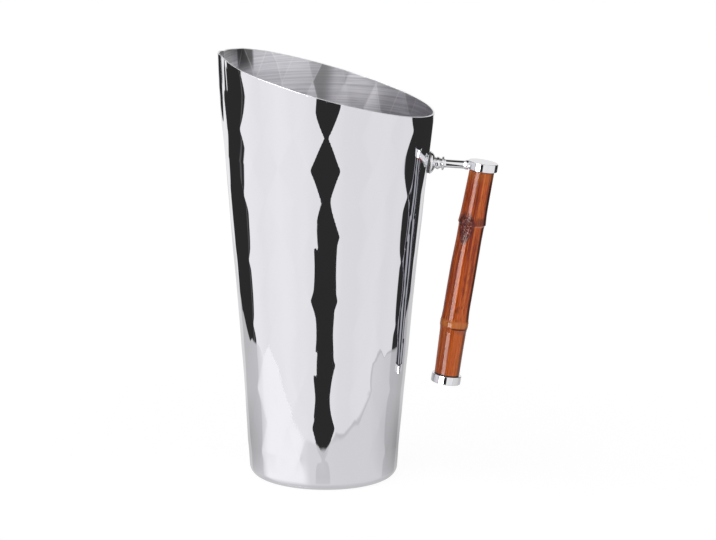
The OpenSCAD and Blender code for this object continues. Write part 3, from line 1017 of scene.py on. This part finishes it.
def floor_material():
    """White floor with a soft shadow. In the steel only a small plinth shows."""
    n = Nodes(bpy.data.materials.new("white_floor"))
    path = n.add("ShaderNodeLightPath")
    place = n.object_place()
    x, y = n.axes(place)[:2]
    # The plinth's outline has rounded front corners; 1 is the edge
    across = n.math("DIVIDE", n.math("ABSOLUTE", x), plinth_side * MM)
    across = n.math("POWER", across, 6.0)
    ahead = n.math("DIVIDE", n.math("MINIMUM", y, 0.0), plinth_front * MM)
    outline = n.plus(across, n.math("POWER", ahead, 2.0))
    wobble = n.noise(n.stretched(place, (1, 1, 0)), 30.0, 2)
    outline = n.plus(outline, n.between(wobble, 0.3, 0.7, -plinth_wobble, plinth_wobble))
    in_plinth = n.between(outline, 1 - plinth_soft, 1 + plinth_soft, 1.0, 0.0)
    rim_shade = n.band(outline, rim_place, rim_half, rim_soft)
    rim_shade = n.times(rim_shade, n.between(x, 0.01, 0.05))

    seen = n.add("ShaderNodeAddShader")
    matt = n.add("ShaderNodeBsdfDiffuse")
    matt.inputs["Color"].default_value = grey(seen_tone)
    glow = n.add("ShaderNodeEmission")
    glow.inputs["Color"].default_value = grey(own_tone)
    n.put(matt.outputs[0], seen.inputs[0])
    n.put(glow.outputs[0], seen.inputs[1])

    bounce = n.add("ShaderNodeBsdfDiffuse")
    bounce.inputs["Color"].default_value = grey(bounce_tone)

    # Lit from the front left, darker behind the jug's sides, most so near it and at the right
    turn = n.direction(x, n.times(y, -1.0))
    away = n.length(x, y)
    near = n.between(away, near_full_m, near_end_m, 1.0, 0.0, smooth=False)

    def side_shade(start, full, dark, near_dark):
        shade = n.between(turn, start, full, 0.0, 1.0, smooth=False)
        return n.times(shade, n.plus(n.times(near, near_dark), dark))

    left = side_shade(left_start, left_full, left_dark, left_near_dark)
    right = side_shade(right_start, right_full, right_dark, right_near_dark)
    lit = n.math("SUBTRACT", n.math("SUBTRACT", 1.0, left), right)
    lit = n.times(lit, n.between(turn, front_left, front_right, 1.0, front_right_tone))
    contact = n.between(away, contact_start_m, contact_end_m, contact_tone, 1.0)
    lit = n.times(lit, contact)
    rim_tone = n.math("SUBTRACT", 1.0, n.times(rim_shade, rim_dark))
    lit = n.times(lit, rim_tone)
    gloss_body = n.add("ShaderNodeEmission")
    gloss_body.inputs["Color"].default_value = grey(plinth_tone)
    n.put(lit, gloss_body.inputs["Strength"])
    gloss_coat = n.add("ShaderNodeBsdfGlossy")
    gloss_coat.inputs["Roughness"].default_value = plinth_rough
    fresnel = n.add("ShaderNodeFresnel")
    fresnel.inputs["IOR"].default_value = plinth_ior
    plinth = n.mix_shader(fresnel.outputs[0], gloss_body.outputs[0], gloss_coat.outputs[0])
    gone = n.add("ShaderNodeBsdfTransparent").outputs[0]
    mirrored = n.mix_shader(in_plinth, gone, plinth)

    shader = n.mix_shader(path.outputs["Is Glossy Ray"], bounce.outputs[0], mirrored)
    shader = n.mix_shader(path.outputs["Is Camera Ray"], shader, seen.outputs[0])
    return n.finish(shader)


def add_plane(name, corners, material):
    obj = add_object(name, corners, [[0, 1, 2, 3]])
    dress(obj, material)
    return obj


add_plane(
    "floor",
    [
        (-floor_half, -floor_half, 0),
        (floor_half, -floor_half, 0),
        (floor_half, floor_half, 0),
        (-floor_half, floor_half, 0),
    ],
    floor_material(),
)

# Dark gap between the white panels in front of the jug
gap_away = 490.0
gap_left = -93.8
gap_right = 94.0
gap_low, gap_high = -450.0, 330.0
dark_tone = 0.028


def dark_material():
    n = Nodes(bpy.data.materials.new("dark_gap"))
    glow = n.add("ShaderNodeEmission")
    glow.inputs["Color"].default_value = grey(dark_tone)
    return n.finish(glow.outputs[0])


gap = add_plane(
    "dark_gap",
    [
        (gap_left, -gap_away, gap_low),
        (gap_right, -gap_away, gap_low),
        (gap_right, -gap_away, gap_high),
        (gap_left, -gap_away, gap_high),
    ],
    dark_material(),
)


def only_mirrored(obj):
    """The object shows in glossy reflections and nowhere else."""
    obj.visible_camera = False
    obj.visible_diffuse = False
    obj.visible_shadow = False
    obj.visible_transmission = False


only_mirrored(gap)

# Dark card behind the jug on the right: it carries the right stripe's top to the wall's edge
card_away = 200.0
card_left, card_right, card_top = 100, 230, 186
# Lower edge of the card, from left to right: place across and height
card_low_edge = [(card_left, 156), (171, 143), (192, 118), (card_right, 105)]
card_outline = card_low_edge + [(card_right, card_top), (card_left, card_top)]
rear_card = add_object(
    "rear_card",
    [(x, card_away, z) for x, z in card_outline],
    [list(range(len(card_outline)))],
)
dress(rear_card, gap.data.materials[0])
only_mirrored(rear_card)

# In the photograph the wall mirrors the grip as a grey streak, not as a brown one, so a grey
# sleeve around the bamboo hides it from the wall. The arm and the caps, which are nearer
# to the bamboo than sleeve_near, still mirror the bamboo itself.
sleeve_gap = 0.9
sleeve_near = 14.0
sleeve_rings = 80
# Its light and dark lines: how many per radian, and how far they wander
line_rate, line_wander = 8.0, 2.0
line_dark, line_light = grey(0.02), (0.4, 0.4, 0.44, 1)


def sleeve_material():
    n = Nodes(bpy.data.materials.new("grey_sleeve"))
    path = n.add("ShaderNodeLightPath")
    place = n.object_place()
    # Lengthwise light and dark lines, which wander a little
    x, y = n.axes(place)[:2]
    turn = n.math("ARCTAN2", y, x)
    wander = n.noise(n.stretched(place, (60, 60, 3)), 1.0, 2)
    wander = n.times(wander, line_wander)
    lines = n.plus(n.times(turn, line_rate), wander)
    lines = n.between(n.math("SINE", lines), -0.2, 0.5)
    glow = n.add("ShaderNodeEmission")
    n.put(n.mix(lines, line_dark, line_light), glow.inputs[0])
    gone = n.add("ShaderNodeBsdfTransparent").outputs[0]
    far = n.math("GREATER_THAN", path.outputs["Ray Length"], sleeve_near * MM)
    return n.finish(n.mix_shader(far, gone, glow.outputs[0]))


def build_sleeve():
    s = np.linspace(0, grip_l, sleeve_rings)
    turn = np.arange(bamboo_segments) * 2 * math.pi / bamboo_segments
    radius = np.interp(s, stem_places, stem_radii)[:, None] + sleeve_gap
    x = radius * np.cos(turn) - np.interp(s, bow_places, bow_sizes)[:, None]
    y = radius * np.sin(turn)
    z = np.broadcast_to((grip_top_z - s)[:, None], x.shape)
    points = np.stack([x, y, z], -1).reshape(-1, 3)
    sleeve = add_object("grey_sleeve", points, ring_faces(len(s), bamboo_segments), grip_frame)
    dress(sleeve, sleeve_material())
    return sleeve


only_mirrored(build_sleeve())


# Things in the world, each by its middle direction in degrees from the front (plus toward
# the grip) or its middle height in degrees, its half size and its softness
left_flag = (-128.3, 19.8, 0.6)
right_flag = (127.4, 20.7, 0.6)
grey_line = (-112.5, 1.0, 0.6)
grey_line_tone = 0.07
panel_turn, panel_height = (-64.0, 38.0, 8.0), (36.0, 18.0, 5.0)
panel_tone = 3.0
strip_turn, strip_height = (-42.0, 20.0, 3.0), (-4.0, 9.0, 1.5)
# The strip is brighter for glossy rays than for diffuse ones
strip_diffuse, strip_glossy = 4.5, 11.0
# The dark band overhead: heights between which it sets in, and its place across
overhead_low, overhead_high, overhead_tone = 50.0, 62.0, 0.03
overhead_across = (0.0, 0.3, 0.06)


def build_world():
    """White room with two dark flags, a strip, a panel and a dark band; white to the camera."""
    world = bpy.data.worlds.new("studio")
    bpy.context.scene.world = world
    n = Nodes(world)
    path = n.add("ShaderNodeLightPath")
    place = n.add("ShaderNodeTexCoord").outputs["Generated"]
    x, y, z = n.axes(place)
    azimuth = n.direction(x, n.times(y, -1.0))
    height = n.math("DEGREES", n.math("ARCSINE", z))

    flags = n.plus(n.band(azimuth, *left_flag), n.band(azimuth, *right_flag))
    # The white panels are a little uneven, so neighbouring diamonds differ
    cloth = n.noise(place, 1.6, 1.0)
    room = n.between(azimuth, -60.0, 60.0, 0.96, 0.89)
    room = n.times(room, n.between(azimuth, 50.0, 105.0, 1.0, 0.92))
    room = n.plus(room, n.between(cloth, 0.3, 0.7, -0.05, 0.05, smooth=False))
    room = n.mix(1.0, room, (1, 1, 1, 1), "MULTIPLY")
    # A thin grey line stands near the edge of the left flag
    line = n.times(n.band(azimuth, *grey_line), grey_line_tone)
    dark = n.plus(line, dark_tone)
    room = n.mix(flags, room, dark)
    # A dark band runs overhead from front to back, which draws the line along the arm's top
    overhead = n.between(height, overhead_low, overhead_high)
    overhead = n.times(overhead, n.band(x, *overhead_across))
    room = n.mix(overhead, room, grey(overhead_tone))
    # A soft panel high at the left, for glossy rays, brightens the grip side of the inside;
    # the outer wall and the fittings hardly mirror it
    panel = n.times(n.band(azimuth, *panel_turn), n.band(height, *panel_height))
    panel = n.times(panel, path.outputs["Is Glossy Ray"])
    room = n.mix(panel, room, grey(panel_tone))
    strip = n.times(n.band(azimuth, *strip_turn), n.band(height, *strip_height))
    glow = n.between(path.outputs["Is Glossy Ray"], 0.0, 1.0, strip_diffuse, strip_glossy)
    glow = n.mix(1.0, glow, (1, 1, 1, 1), "MULTIPLY")
    room = n.mix(strip, room, glow)
    back = n.add("ShaderNodeBackground")
    n.put(room, back.inputs["Color"])
    seen = n.add("ShaderNodeBackground")
    seen.inputs["Color"].default_value = grey(1.0)
    shader = n.mix_shader(path.outputs["Is Camera Ray"], back.outputs[0], seen.outputs[0])
    n.finish(shader, "ShaderNodeOutputWorld")


build_world()

# Camera at the photograph's place

view_away = 2150.0
view_height = 12.4195
view_roll = 0.7455
view_target = Vector((20.175, 0, 130.72))
view_lens = 173.44
camera_data = bpy.data.cameras.new("camera")
camera_data.sensor_width = 36.0
camera_data.sensor_fit = "HORIZONTAL"
camera_data.lens = view_lens
camera_data.clip_start = 0.1
camera_data.clip_end = 20.0
camera = bpy.data.objects.new("camera", camera_data)
bpy.context.scene.collection.objects.link(camera)
lift = math.radians(view_height)
roll = math.radians(view_roll)
look = Vector((0, math.cos(lift), -math.sin(lift)))
level_up = Vector((0, math.sin(lift), math.cos(lift)))
side = Vector((1, 0, 0))
right = math.cos(roll) * side + math.sin(roll) * level_up
up = math.cos(roll) * level_up - math.sin(roll) * side
turn = Matrix((right, up, -look)).transposed().to_4x4()
camera.matrix_world = Matrix.Translation((view_target - look * view_away) * MM) @ turn
bpy.context.scene.camera = camera
bpy.context.scene.view_settings.view_transform = "Standard"
